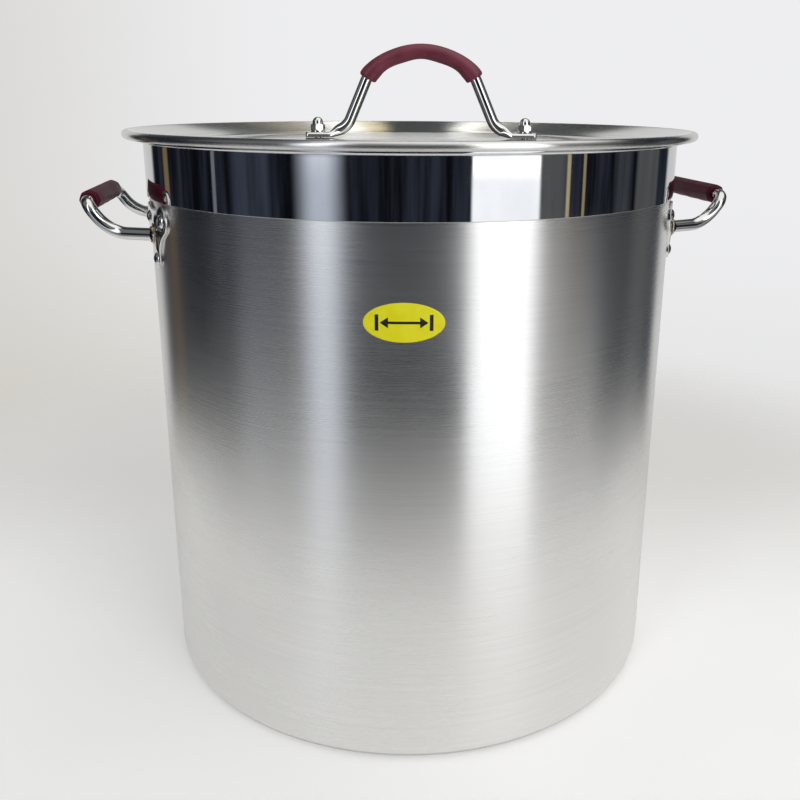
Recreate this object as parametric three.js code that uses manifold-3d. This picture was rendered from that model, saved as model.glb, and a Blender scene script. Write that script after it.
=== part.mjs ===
// Brew kettle: a straight-sided stainless stock pot with a loose dished lid.
// Millimetres, +Z up. The origin is the centre of the base, where the pot stands.
// The two side handles are at +X and -X. The lid is a separate piece that lifts off.

import * as THREE from 'three';
import { mergeVertices } from 'three/addons/utils/BufferGeometryUtils.js';
import Module from 'manifold-3d';

const wasm = await Module();
wasm.setup();

// ---------- driving dimensions ----------

const POT_RADIUS = 200; // outside of the satin wall
const POT_HEIGHT = 416.6; // top of the rolled rim
const POT_WALL = 1;
const BASE_THICKNESS = 3; // layered base that spreads the heat
const BASE_CORNER = 8; // outside radius between base and wall
const INNER_CORNER = 6; // inside radius between base and wall
const BAND_BOTTOM = 374; // the polished band begins here
const BAND_STEP = 1.5; // the band is this much larger in radius than the wall
const BAND_SHOULDER = 2; // height over which the wall steps out to the band
const RIM_ROLL = 2.2; // outside radius of the rolled rim

const LID_SHEET = 1;
const LID_FLOOR = 413.3; // top of the flat middle of the lid
const LID_FLAT_RADIUS = 112;
const LID_WELL_RADIUS = 178; // where the flare starts
const LID_WELL_DROP = 1.5; // the well's edge lies this much below the middle
const LID_BEAD_RADIUS = 212.7; // centre of the rolled edge
const LID_BEAD_TOP = 420.9;
const LID_BEAD_ROLL = 3; // outside radius of the rolled edge
const LID_TURN = THREE.MathUtils.degToRad(-11); // how the loose lid lies on the pot

const LID_HANDLE_SHIFT = 9; // the handle is fixed off the middle of the lid
const LID_ROD = 9;
const LID_ARCH_TOP = 477.7; // centre of the rod at the top of the arch
const LID_ARCH_RADIUS = 56;
const LID_ARCH_ANGLE = THREE.MathUtils.degToRad(43);
const LID_SHOULDER_RADIUS = 20;
const LID_LEG_ANGLE = THREE.MathUtils.degToRad(66.5); // slope of the straight legs
const LID_FOOT_BEND = 16;
const TAB_THICKNESS = 3;
const TAB_WIDTH = 16;
const TAB_INNER = 65; // from the handle's middle
const TAB_OUTER = 91;
const SCREW_SPACING = 162;
const LID_GRIP_BORE = 9.6;
const LID_GRIP_OUTSIDE = 12.4;

const SCREW_DIAMETER = 5;
const SCREW_HOLE = 5.8;
const SCREW_HEAD = 10.5;
const SCREW_HEAD_HEIGHT = 2.6;
const NUT_ACROSS_FLATS = 10;
const NUT_HEX_HEIGHT = 6;
const NUT_HEIGHT = 12.2;

const SIDE_ROD = 9;
const FOOT_ANGLE = THREE.MathUtils.degToRad(20); // between a handle's middle and each foot
const FOOT_HEIGHT = 350.8; // above the base, where the handle meets the brackets
const FOOT_FACE = 203.6; // the boss's face, from the pot's axis
const KNEE = [222, 55.2, 350.4]; // outward, sideways, up
const CORNER = [237.4, 56, 371.8];
const KNEE_RADIUS = 25;
const CORNER_RADIUS = 9;
const SIDE_GRIP_LENGTH = 84;
const SIDE_GRIP_BORE = 9.6;
const SIDE_GRIP_OUTSIDE = 15.2;

const PLATE_INNER = 200.4; // from the pot's axis
const PLATE_THICKNESS = 1.5;
const PLATE_TOP = 372;
const PLATE_BOTTOM = 327.4;
const PLATE_DIP = 4; // depth of the dip between the two upper lobes
const PLATE_WAIST = [9, 347]; // the outline is drawn in toward here between lobe and ear
const EAR_HALF_WIDTH = 8;
const UPPER_RIVETS = [17, 361.5]; // sideways from the bracket's middle, height
const LOWER_RIVET = [0, 333.6];
const BOSS_RADIUS = 8.8;
const BOSS_FACE_RADIUS = 7.4;

const RIVET_SHANK = 4.4;
const RIVET_HOLE = 5.2;
const RIVET_HEAD = 9.6;
const RIVET_HEAD_HEIGHT = 2.4;
const RIVET_TAIL = 8;
const RIVET_TAIL_HEIGHT = 1.2;

const LABEL_ANGLE = THREE.MathUtils.degToRad(-98.5);
const LABEL_HEIGHT = 314.5;
const LABEL_WIDTH = 49.5;
const LABEL_TALL = 24.5;
const LABEL_THICKNESS = 0.3;

const GAP = 0.3; // left between neighbours that touch on the real pot
const ROUND_SEGMENTS = 60;

// ---------- materials ----------

function metal(color, roughness) {
  return new THREE.MeshStandardMaterial({ color, roughness, metalness: 1 });
}

const satinSteel = metal(0xb9bab8, 0.34);
const lidSteel = metal(0xc6c6c3, 0.24);
const polishedSteel = metal(0xd2d3d2, 0.12);
const silicone = new THREE.MeshStandardMaterial({ color: 0x6e1f34, roughness: 0.55, metalness: 0 });
const labelFilm = new THREE.MeshStandardMaterial({ color: 0xf4ee1c, roughness: 0.4, metalness: 0 });

// ---------- solids ----------

// A geometry as a manifold solid. A sweep's faces can come out inside-out, so they are turned.
function toSolid(geometry) {
  const bare = geometry.clone();
  bare.deleteAttribute('normal');
  bare.deleteAttribute('uv');
  const merged = mergeVertices(bare, 1e-3);
  const vertProperties = Float32Array.from(merged.attributes.position.array);
  const triVerts = Uint32Array.from(merged.index.array);
  if (signedVolume(vertProperties, triVerts) < 0) {
    for (let i = 0; i < triVerts.length; i += 3) {
      [triVerts[i], triVerts[i + 1]] = [triVerts[i + 1], triVerts[i]];
    }
  }
  return new wasm.Manifold(new wasm.Mesh({ numProp: 3, vertProperties, triVerts }));
}

function signedVolume(points, triangles) {
  const corner = (i) => new THREE.Vector3().fromArray(points, 3 * triangles[i]);
  let volume = 0;
  for (let i = 0; i < triangles.length; i += 3) {
    volume += corner(i).dot(corner(i + 1).cross(corner(i + 2))) / 6;
  }
  return volume;
}

function toGeometry(solid) {
  const mesh = solid.getMesh();
  const geometry = new THREE.BufferGeometry();
  geometry.setAttribute('position', new THREE.BufferAttribute(mesh.vertProperties, 3));
  geometry.setIndex(new THREE.BufferAttribute(mesh.triVerts, 1));
  geometry.computeVertexNormals();
  return geometry;
}

function piece(name, solid, material) {
  const mesh = new THREE.Mesh(toGeometry(solid), material);
  mesh.name = name;
  return mesh;
}

// A profile of [radius, height] points turned about the Z axis.
function turned(profile, segments = ROUND_SEGMENTS) {
  const points = profile.map(([radius, height]) => new THREE.Vector2(radius, height));
  return new THREE.LatheGeometry(points, segments).rotateX(Math.PI / 2);
}

// An arc of [radius, height] points about a centre, angles in degrees from outward to up.
function arc(centre, radius, from, to, steps) {
  const points = [];
  for (let i = 0; i <= steps; i += 1) {
    const angle = THREE.MathUtils.degToRad(from + ((to - from) * i) / steps);
    points.push([centre[0] + radius * Math.cos(angle), centre[1] + radius * Math.sin(angle)]);
  }
  return points;
}

// A cylinder or cone along Z, from one height to another.
function plug(bottomRadius, topRadius, from, to, sides) {
  const body = new THREE.CylinderGeometry(topRadius, bottomRadius, to - from, sides);
  return body.rotateX(Math.PI / 2).translate(0, 0, (from + to) / 2);
}

// A path of straight runs joined by round bends, one radius for each inner corner.
class BentPath extends THREE.CurvePath {
  constructor(corners, radii) {
    super();
    let start = corners[0];
    for (let i = 1; i < corners.length - 1; i += 1) {
      const back = corners[i - 1].clone().sub(corners[i]).normalize();
      const ahead = corners[i + 1].clone().sub(corners[i]).normalize();
      const half = back.angleTo(ahead) / 2;
      const reach = radii[i - 1] / Math.tan(half);
      const middle = back.clone().add(ahead).normalize().multiplyScalar(radii[i - 1] / Math.sin(half));
      const centre = corners[i].clone().add(middle);
      const from = corners[i].clone().addScaledVector(back, reach);
      const to = corners[i].clone().addScaledVector(ahead, reach);
      this.add(new THREE.LineCurve3(start, from));
      this.add(new Bend(centre, from, to));
      start = to;
    }
    this.add(new THREE.LineCurve3(start, corners[corners.length - 1]));
  }
}

// A round bend about a centre, from one point to another.
class Bend extends THREE.Curve {
  constructor(centre, from, to) {
    super();
    this.centre = centre;
    this.from = from.clone().sub(centre);
    this.to = to.clone().sub(centre);
    this.sweep = this.from.angleTo(this.to);
  }

  getPoint(t, target = new THREE.Vector3()) {
    const near = Math.sin((1 - t) * this.sweep) / Math.sin(this.sweep);
    const far = Math.sin(t * this.sweep) / Math.sin(this.sweep);
    return target.copy(this.centre).addScaledVector(this.from, near).addScaledVector(this.to, far);
  }
}

function circleShape(diameter, sides, bore = 0) {
  const ring = (size) => {
    const points = [];
    for (let i = 0; i < sides; i += 1) {
      const angle = ((i + 0.5) / sides) * 2 * Math.PI;
      points.push(new THREE.Vector2(Math.cos(angle), Math.sin(angle)).multiplyScalar(size / 2));
    }
    return points;
  };
  const shape = new THREE.Shape(ring(diameter));
  if (bore > 0) {
    shape.holes.push(new THREE.Path(ring(bore)));
  }
  return shape;
}

function swept(shape, path, steps) {
  return new THREE.ExtrudeGeometry(shape, { steps, extrudePath: path, bevelEnabled: false });
}

// ---------- places ----------

const sides = [
  { name: 'right', turn: 0 },
  { name: 'left', turn: Math.PI },
];

// Moves a geometry from the Z axis to the pot's wall: its +Z points outward at an angle and height.
function onWall(geometry, angle, height) {
  return geometry.rotateZ(Math.PI / 2).rotateY(Math.PI / 2).translate(0, 0, height).rotateZ(angle);
}

function rivetPlaces() {
  const places = [];
  for (const side of sides) {
    for (const [end, sign] of [['front', -1], ['back', 1]]) {
      const middle = side.turn + FOOT_ANGLE * sign * (side.turn === 0 ? 1 : -1);
      const spread = UPPER_RIVETS[0] / POT_RADIUS;
      const bracket = `${side.name}_${end}`;
      places.push({ name: `rivet_${bracket}_1`, angle: middle - spread, height: UPPER_RIVETS[1] });
      places.push({ name: `rivet_${bracket}_2`, angle: middle + spread, height: UPPER_RIVETS[1] });
      places.push({ name: `rivet_${bracket}_3`, angle: middle, height: LOWER_RIVET[1] });
    }
  }
  return places;
}

// ---------- pot ----------

function makePotShell() {
  const bandRadius = POT_RADIUS + BAND_STEP;
  const inner = POT_RADIUS - POT_WALL;
  const innerBand = bandRadius - POT_WALL;
  const rimCentre = [innerBand + RIM_ROLL, POT_HEIGHT - RIM_ROLL];
  const profile = [
    [0, 0],
    ...arc([POT_RADIUS - BASE_CORNER, BASE_CORNER], BASE_CORNER, -90, 0, 4),
    [POT_RADIUS, BAND_BOTTOM],
    [bandRadius, BAND_BOTTOM + BAND_SHOULDER],
    ...arc(rimCentre, RIM_ROLL - POT_WALL, 180, -80, 6),
    ...arc(rimCentre, RIM_ROLL, -80, 180, 8),
    [innerBand, BAND_BOTTOM + BAND_SHOULDER],
    [inner, BAND_BOTTOM],
    ...arc([inner - INNER_CORNER, BASE_THICKNESS + INNER_CORNER], INNER_CORNER, 0, -90, 3),
    [0, BASE_THICKNESS],
  ];
  let shell = toSolid(turned(profile));
  for (const place of rivetPlaces()) {
    const hole = plug(RIVET_HOLE / 2, RIVET_HOLE / 2, inner - 10, POT_RADIUS + 10, 8);
    shell = shell.subtract(toSolid(onWall(hole, place.angle, place.height)));
  }
  return piece('pot_shell', shell, satinSteel);
}

// ---------- side handles ----------

function bracketOutline() {
  const shape = new THREE.Shape();
  const [across, height] = UPPER_RIVETS;
  const lobe = PLATE_TOP - height;
  const dip = PLATE_TOP - PLATE_DIP;
  const ear = LOWER_RIVET[1] - PLATE_BOTTOM;
  const [waist, waistHeight] = PLATE_WAIST;
  shape.absarc(across, height, lobe, -Math.PI / 4, Math.PI / 2, false);
  shape.quadraticCurveTo(across / 2, dip, 0, dip);
  shape.quadraticCurveTo(-across / 2, dip, -across, PLATE_TOP);
  shape.absarc(-across, height, lobe, Math.PI / 2, (5 * Math.PI) / 4, false);
  shape.quadraticCurveTo(-waist, waistHeight, -EAR_HALF_WIDTH, LOWER_RIVET[1]);
  shape.absellipse(0, LOWER_RIVET[1], EAR_HALF_WIDTH, ear, Math.PI, 2 * Math.PI, false);
  shape.quadraticCurveTo(waist, waistHeight, across + lobe * Math.SQRT1_2, height - lobe * Math.SQRT1_2);
  return shape;
}

// A stamped plate that follows the wall, with a raised boss for the rod's foot.
function makeBracket(name, angle) {
  const outer = PLATE_INNER + PLATE_THICKNESS;
  const ring = turned([
    [PLATE_INNER, PLATE_BOTTOM - 5],
    [outer, PLATE_BOTTOM - 5],
    [outer, PLATE_TOP + 5],
    [PLATE_INNER, PLATE_TOP + 5],
    [PLATE_INNER, PLATE_BOTTOM - 5],
  ], 128);
  const blank = new THREE.ExtrudeGeometry(bracketOutline(), { depth: 60, bevelEnabled: false, curveSegments: 5 });
  const stamped = onWall(blank.translate(0, 0, POT_RADIUS - 30), 0, 0);
  const boss = onWall(plug(BOSS_RADIUS, BOSS_FACE_RADIUS, PLATE_INNER + 0.7, FOOT_FACE, 20), 0, FOOT_HEIGHT);
  let plate = toSolid(ring).intersect(toSolid(stamped)).add(toSolid(boss));
  for (const [across, height] of [[-UPPER_RIVETS[0], UPPER_RIVETS[1]], UPPER_RIVETS, LOWER_RIVET]) {
    const hole = plug(RIVET_HOLE / 2, RIVET_HOLE / 2, PLATE_INNER - 10, PLATE_INNER + 20, 8);
    plate = plate.subtract(toSolid(onWall(hole, across / POT_RADIUS, height)));
  }
  const mesh = piece(name, plate, polishedSteel);
  mesh.rotation.z = angle;
  return mesh;
}

// Domed head outside, shank through plate and wall, flat tail inside the pot.
function makeRivet(place) {
  const head = PLATE_INNER + PLATE_THICKNESS + GAP;
  const tail = POT_RADIUS - POT_WALL - GAP;
  const profile = [
    [0, tail - RIVET_TAIL_HEIGHT],
    [RIVET_TAIL / 2 - 0.6, tail - RIVET_TAIL_HEIGHT],
    [RIVET_TAIL / 2, tail],
    [RIVET_SHANK / 2, tail],
    [RIVET_SHANK / 2, head],
    [RIVET_HEAD / 2, head],
    [RIVET_HEAD * 0.4, head + RIVET_HEAD_HEIGHT * 0.62],
    [RIVET_HEAD * 0.2, head + RIVET_HEAD_HEIGHT * 0.93],
    [0, head + RIVET_HEAD_HEIGHT],
  ];
  return piece(place.name, toSolid(onWall(turned(profile, 8), place.angle, place.height)), polishedSteel);
}

function makeSideRod(name) {
  const foot = [Math.cos(FOOT_ANGLE) * (FOOT_FACE - 4), Math.sin(FOOT_ANGLE) * (FOOT_FACE - 4), FOOT_HEIGHT];
  const half = [foot, KNEE, CORNER];
  const corners = half.map(([out, across, up]) => new THREE.Vector3(out, -across, up));
  for (const [out, across, up] of half.reverse()) {
    corners.push(new THREE.Vector3(out, across, up));
  }
  const path = new BentPath(corners, [KNEE_RADIUS, CORNER_RADIUS, CORNER_RADIUS, KNEE_RADIUS]);
  let rod = toSolid(swept(circleShape(SIDE_ROD, 10), path, 58));
  for (const angle of [-FOOT_ANGLE, FOOT_ANGLE]) {
    const clearance = onWall(plug(20, 20, FOOT_FACE - 20, FOOT_FACE + GAP, 16), angle, FOOT_HEIGHT);
    rod = rod.subtract(toSolid(clearance));
  }
  return piece(name, rod, polishedSteel);
}

function makeSideGrip(name) {
  const end = (across) => new THREE.Vector3(CORNER[0], across, CORNER[2]);
  const path = new THREE.LineCurve3(end(-SIDE_GRIP_LENGTH / 2), end(SIDE_GRIP_LENGTH / 2));
  const sleeve = swept(circleShape(SIDE_GRIP_OUTSIDE, 16, SIDE_GRIP_BORE), path, 1);
  return piece(name, toSolid(sleeve), silicone);
}

// ---------- lid ----------

function makeLidPan() {
  const wellTop = LID_FLOOR - LID_WELL_DROP;
  const beadCentre = [LID_BEAD_RADIUS, LID_BEAD_TOP - LID_BEAD_ROLL];
  const innerRoll = LID_BEAD_ROLL - LID_SHEET;
  const profile = [
    [0, LID_FLOOR - LID_SHEET],
    [LID_FLAT_RADIUS, LID_FLOOR - LID_SHEET],
    [LID_WELL_RADIUS - 4, wellTop - LID_SHEET],
    [LID_WELL_RADIUS + 0.5, wellTop - LID_SHEET + 0.4],
    [LID_WELL_RADIUS + 3, wellTop - LID_SHEET + 1.2],
    ...arc(beadCentre, innerRoll, 110, -120, 6),
    ...arc(beadCentre, LID_BEAD_ROLL, -120, 110, 9),
    [LID_WELL_RADIUS + 3, wellTop + 1.2],
    [LID_WELL_RADIUS, wellTop + 0.4],
    [LID_WELL_RADIUS - 4, wellTop],
    [LID_FLAT_RADIUS, LID_FLOOR],
    [0, LID_FLOOR],
  ];
  let pan = toSolid(turned(profile));
  for (const sign of [-1, 1]) {
    const hole = plug(SCREW_HOLE / 2, SCREW_HOLE / 2, LID_FLOOR - 10, LID_FLOOR + 10, 12);
    pan = pan.subtract(toSolid(hole.translate(LID_HANDLE_SHIFT + (sign * SCREW_SPACING) / 2, 0, 0)));
  }
  return piece('lid_pan', pan, lidSteel);
}

// Half of the arched handle's centre line: [outward, height] from the top of the arch to the foot.
function lidHandleHalf() {
  const archCentre = LID_ARCH_TOP - LID_ARCH_RADIUS;
  const slope = (angle) => [Math.sin(angle), Math.cos(angle)];
  const [sinArch, cosArch] = slope(LID_ARCH_ANGLE);
  const [sinLeg, cosLeg] = slope(LID_LEG_ANGLE);
  const shoulderCentre = [
    (LID_ARCH_RADIUS - LID_SHOULDER_RADIUS) * sinArch,
    archCentre + (LID_ARCH_RADIUS - LID_SHOULDER_RADIUS) * cosArch,
  ];
  const legTop = [
    shoulderCentre[0] + LID_SHOULDER_RADIUS * sinLeg,
    shoulderCentre[1] + LID_SHOULDER_RADIUS * cosLeg,
  ];
  const footHeight = LID_FLOOR + GAP + LID_ROD / 2;
  const ankle = [legTop[0] + (legTop[1] - footHeight) / Math.tan(LID_LEG_ANGLE), footHeight];
  return { archCentre, shoulderCentre, legTop, ankle };
}

// The rounded top of the handle, out to a given angle from straight up.
class LidArch extends THREE.Curve {
  constructor(reach) {
    super();
    this.reach = reach;
    this.half = lidHandleHalf();
  }

  getPoint(t, target = new THREE.Vector3()) {
    const angle = (2 * t - 1) * this.reach;
    const size = Math.abs(angle);
    const onArch = size < LID_ARCH_ANGLE;
    const radius = onArch ? LID_ARCH_RADIUS : LID_SHOULDER_RADIUS;
    const [x, z] = onArch ? [0, this.half.archCentre] : this.half.shoulderCentre;
    return target.set(Math.sign(angle) * (x + radius * Math.sin(size)), 0, z + radius * Math.cos(size));
  }
}

function makeLidHandleRod() {
  const { legTop, ankle } = lidHandleHalf();
  const toe = [TAB_INNER + 6, ankle[1]];
  const spot = (sign, [out, up]) => new THREE.Vector3(sign * out, 0, up);
  const path = new THREE.CurvePath();
  const leftLeg = new BentPath([toe, ankle, legTop].map((at) => spot(-1, at)), [LID_FOOT_BEND]);
  const rightLeg = new BentPath([legTop, ankle, toe].map((at) => spot(1, at)), [LID_FOOT_BEND]);
  for (const run of [...leftLeg.curves, new LidArch(LID_LEG_ANGLE), ...rightLeg.curves]) {
    path.add(run);
  }
  let rod = toSolid(swept(circleShape(LID_ROD, 10), path, 52));
  for (const sign of [-1, 1]) {
    const length = TAB_OUTER - TAB_INNER;
    const tab = new THREE.BoxGeometry(length, TAB_WIDTH, TAB_THICKNESS);
    tab.translate(sign * (TAB_INNER + length / 2), 0, LID_FLOOR + GAP + TAB_THICKNESS / 2);
    const hole = plug(SCREW_HOLE / 2, SCREW_HOLE / 2, LID_FLOOR - 10, LID_FLOOR + 10, 12);
    rod = rod.add(toSolid(tab)).subtract(toSolid(hole.translate((sign * SCREW_SPACING) / 2, 0, 0)));
  }
  return piece('lid_handle_rod', rod, polishedSteel);
}

function makeLidHandleGrip() {
  const reach = THREE.MathUtils.degToRad(60);
  const sleeve = swept(circleShape(LID_GRIP_OUTSIDE, 12, LID_GRIP_BORE), new LidArch(reach), 16);
  return piece('lid_handle_grip', toSolid(sleeve), silicone);
}

function makeCapNut(name, across) {
  const base = LID_FLOOR + TAB_THICKNESS + 2 * GAP;
  const corner = NUT_ACROSS_FLATS / Math.sqrt(3);
  const hex = plug(corner, corner, base, base + NUT_HEX_HEIGHT, 6);
  const domeRadius = NUT_ACROSS_FLATS / 2 - 0.7;
  const dome = turned([
    [0, base + 1],
    [domeRadius, base + 1],
    [domeRadius, base + NUT_HEIGHT - domeRadius],
    [domeRadius * 0.82, base + NUT_HEIGHT - domeRadius * 0.43],
    [domeRadius * 0.45, base + NUT_HEIGHT - domeRadius * 0.11],
    [0, base + NUT_HEIGHT],
  ], 12);
  const socket = (SCREW_DIAMETER + 2 * GAP) / 2;
  const bore = plug(socket, socket, base - 1, base + 7, 12);
  const nut = toSolid(hex).add(toSolid(dome)).subtract(toSolid(bore));
  const mesh = piece(name, nut, polishedSteel);
  mesh.position.x = across;
  return mesh;
}

// The screw comes up from under the lid, through the lid and the tab, into the cap nut.
function makeLidScrew(name, across) {
  const seat = LID_FLOOR - LID_SHEET - GAP;
  const tip = LID_FLOOR + TAB_THICKNESS + 2 * GAP + 5.5;
  const profile = [
    [0, seat - SCREW_HEAD_HEIGHT],
    [SCREW_HEAD * 0.3, seat - SCREW_HEAD_HEIGHT],
    [SCREW_HEAD / 2, seat - 1],
    [SCREW_HEAD / 2, seat],
    [SCREW_DIAMETER / 2, seat],
    [SCREW_DIAMETER / 2, tip],
    [0, tip],
  ];
  const mesh = piece(name, toSolid(turned(profile, 12)), polishedSteel);
  mesh.position.x = across;
  return mesh;
}

// ---------- label ----------

// A blank oval sticker that follows the wall.
function makeLabel() {
  const inner = POT_RADIUS + GAP;
  const outer = inner + LABEL_THICKNESS;
  const ring = turned([
    [inner, LABEL_HEIGHT - LABEL_TALL],
    [outer, LABEL_HEIGHT - LABEL_TALL],
    [outer, LABEL_HEIGHT + LABEL_TALL],
    [inner, LABEL_HEIGHT + LABEL_TALL],
    [inner, LABEL_HEIGHT - LABEL_TALL],
  ], 128);
  const oval = new THREE.Shape().absellipse(0, 0, LABEL_WIDTH / 2, LABEL_TALL / 2, 0, 2 * Math.PI, false);
  const cutter = new THREE.ExtrudeGeometry(oval, { depth: 60, bevelEnabled: false, curveSegments: 16 });
  const stamped = onWall(cutter.translate(0, 0, POT_RADIUS - 30), 0, LABEL_HEIGHT);
  const mesh = piece('size_label', toSolid(ring).intersect(toSolid(stamped)), labelFilm);
  mesh.rotation.z = LABEL_ANGLE;
  return mesh;
}

// ---------- assembly ----------

function makeSideHandle(side) {
  const handle = new THREE.Group();
  handle.add(makeSideRod(`side_handle_rod_${side.name}`));
  handle.add(makeSideGrip(`side_handle_grip_${side.name}`));
  const frontSign = side.turn === 0 ? -1 : 1;
  handle.add(makeBracket(`handle_bracket_${side.name}_front`, frontSign * FOOT_ANGLE));
  handle.add(makeBracket(`handle_bracket_${side.name}_back`, -frontSign * FOOT_ANGLE));
  handle.rotation.z = side.turn;
  return handle;
}

function makeLid() {
  const lid = new THREE.Group();
  lid.add(makeLidPan());
  const handle = new THREE.Group();
  handle.add(makeLidHandleRod());
  handle.add(makeLidHandleGrip());
  for (const [end, sign] of [['left', -1], ['right', 1]]) {
    handle.add(makeCapNut(`lid_cap_nut_${end}`, (sign * SCREW_SPACING) / 2));
    handle.add(makeLidScrew(`lid_screw_${end}`, (sign * SCREW_SPACING) / 2));
  }
  handle.position.x = LID_HANDLE_SHIFT;
  lid.add(handle);
  lid.rotation.z = LID_TURN;
  return lid;
}

const group = new THREE.Group();
group.add(makePotShell());
for (const side of sides) {
  group.add(makeSideHandle(side));
}
for (const place of rivetPlaces()) {
  group.add(makeRivet(place));
}
group.add(makeLabel());
group.add(makeLid());

export default group;
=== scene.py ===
from math import asin, copysign, cos, degrees, hypot, pi, radians, sin, sqrt, tan

import bmesh
import bpy
from mathutils import Matrix, Vector


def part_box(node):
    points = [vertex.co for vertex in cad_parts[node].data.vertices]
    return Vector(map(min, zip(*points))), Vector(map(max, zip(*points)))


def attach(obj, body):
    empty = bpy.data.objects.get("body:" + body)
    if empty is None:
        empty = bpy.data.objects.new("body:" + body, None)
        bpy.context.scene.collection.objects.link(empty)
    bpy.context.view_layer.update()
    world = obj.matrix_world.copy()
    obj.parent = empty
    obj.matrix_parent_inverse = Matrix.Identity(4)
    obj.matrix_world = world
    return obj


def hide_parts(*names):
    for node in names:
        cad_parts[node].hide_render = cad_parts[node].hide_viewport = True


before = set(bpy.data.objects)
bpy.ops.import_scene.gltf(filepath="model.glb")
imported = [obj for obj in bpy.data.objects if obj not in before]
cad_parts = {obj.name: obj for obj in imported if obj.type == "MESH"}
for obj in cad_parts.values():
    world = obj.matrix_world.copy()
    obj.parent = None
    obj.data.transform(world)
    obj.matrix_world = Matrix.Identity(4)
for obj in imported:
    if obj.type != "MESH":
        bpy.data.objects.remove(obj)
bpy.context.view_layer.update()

# A brew kettle: a straight stainless pot with a mirror band under its rim, rod handles in
# burgundy sleeves at its sides, and a loose dished lid with an arched handle.
# Lengths are in millimetres and are scaled to metres when a mesh is made.
# Heights are above the base, and "out" is a distance from the kettle's axis.

MM = 0.001


def node_top(node):
    """Height of a CAD node's highest point, in millimetres."""
    return (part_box(node)[1] / MM).z


# ---------- sizes ----------

# The pot: a straight wall, a band that stands out a little above it, and a rolled rim.
POT_RADIUS = 200
POT_WALL = 1
POT_TOP = node_top("pot_shell")
BASE_THICKNESS = 3
BASE_CORNER = 8
BAND_BOTTOM = 374
BAND_STEP = 1.5
BAND_SHOULDER = 0.6  # height over which the wall steps out to the band
RIM_ROLL = 2.2
RIM_END = -80  # where the roll stops, in degrees up from straight out

# The lid: a flat middle, a shallow well, a flared side and a rolled bead.
LID_TOP = node_top("lid_pan")
LID_SHEET = 1
LID_FLOOR = LID_TOP - 7.6
LID_FLAT_RADIUS = 112
LID_WELL_RADIUS = 173.7
LID_WELL_DROP = 2.6
LID_BEAD_RADIUS = 212.6
LID_BEAD_ROLL = 3
LID_BEAD_START = 110  # where the flare meets the bead, in degrees up from straight out
LID_BEAD_END = -120
LID_TURN = radians(-11)

# The lid's handle: a rod of an arch, two shoulders and two legs, forged into tabs at its ends.
HANDLE_SHIFT = 7.6  # it's fixed off the middle of the lid
ROD_RADIUS = 4.5
ARCH_TOP = node_top("lid_handle_rod") - ROD_RADIUS
ARCH_RADIUS = 56
ARCH_ANGLE = radians(43)
SHOULDER_RADIUS = 20
LEG_ANGLE = radians(66.5)
FOOT_BEND = 16
TAB_SEAT = LID_FLOOR + 0.3
TAB_HALF_THICKNESS = 2
TAB_HALF_WIDTH = 8
TAB_CORNER = 2
TAB_CROWN = 0.9  # the upper half is this much thicker, the lower half this much thinner
TAB_EDGE = 2.9  # the section is rounded this far in from each side and flat between
TAB_INNER = 72
TAB_OUTER = 90
FORGED_LENGTH = 9  # how far the rod takes to become a tab
SCREW_SPACING = 162
GRIP_REACH = radians(60)
GRIP_BORE_RADIUS = 4.7
LID_GRIP_RADIUS = 5.9
LID_GRIP_END_RADIUS = 6.9

# A side handle's rod leaves a bracket, turns up at a knee and along its grip at a corner.
FOOT_ANGLE = radians(20)
FOOT_HEIGHT = 350.8
FOOT_FACE = 203.6
KNEE = (222, 55.2, 350.4)  # out, sideways from the handle's middle, height
CORNER = (237.4, 56, 371.8)
KNEE_RADIUS = 25
CORNER_RADIUS = 9
SIDE_GRIP_HALF = 42
SIDE_GRIP_RADIUS = 7.4
WELD_RADIUS = 1

# A bracket: a plate with two upper lobes and a lower ear, and a boss for the rod.
PLATE_INNER = 200.1
PLATE_THICKNESS = 1.7
PLATE_BEVEL = 0.6
PLATE_TOP = 372
PLATE_DIP = 4  # depth of the dip between the two upper lobes
PLATE_WAIST = (9, 347)  # the outline is drawn in toward here between lobe and ear
UPPER_RIVET = (17, 361.5)  # sideways from the bracket's middle, height
LOWER_RIVET = (0, 333.6)
EAR_HALF_WIDTH = 8
EAR_DROP = 6.2
BOSS_RADIUS = 8.8
BOSS_FACE_RADIUS = 7.4

RIVET_RADIUS = 2.2
RIVET_HEAD_RADIUS = 4.8
RIVET_HEAD_HEIGHT = 2.5
RIVET_TAIL_RADIUS = 3.9

NUT_FLAT = 5  # half of the width across flats
NUT_COLLAR = 0.8
NUT_HEX_HEIGHT = 6
NUT_HEIGHT = 11.3
NUT_TURN = radians(22.8)
SCREW_RADIUS = 2.5

# The sticker and its print: two bars and an arrow with two heads.
LABEL_ANGLE = radians(-98.5)
LABEL_HEIGHT = 314.5
LABEL_HALF_WIDTH = 24.75
LABEL_HALF_HEIGHT = 12.25
LABEL_THICKNESS = 0.22
PRINT_THICKNESS = 0.03
PRINT_BAR = (16.5, 1.1, 5)  # sideways from the middle, half width, half height
PRINT_SHAFT = (0, 9.8, 0.8)
ARROW_TIP = 14.6
ARROW_NECK = 9.6
ARROW_HALF_HEIGHT = 3.4

SIDES = {"right": 0.0, "left": pi}
ENDS = {"front": -1, "back": 1}

# The camera of the photograph's view, which stands in front of the kettle and a little above it.
CAMERA_AZIMUTH = radians(-97.35)
CAMERA_DISTANCE = 706.8
CAMERA_HEIGHT = 443.8
CAMERA_PITCH = radians(16.08)
CAMERA_YAW = radians(0.826)
CAMERA_ROLL = radians(-0.316)
CAMERA_LENS = 39.41
CAMERA_SHIFT = (-0.0286, -0.0625)


# ---------- mesh tools ----------

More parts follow.
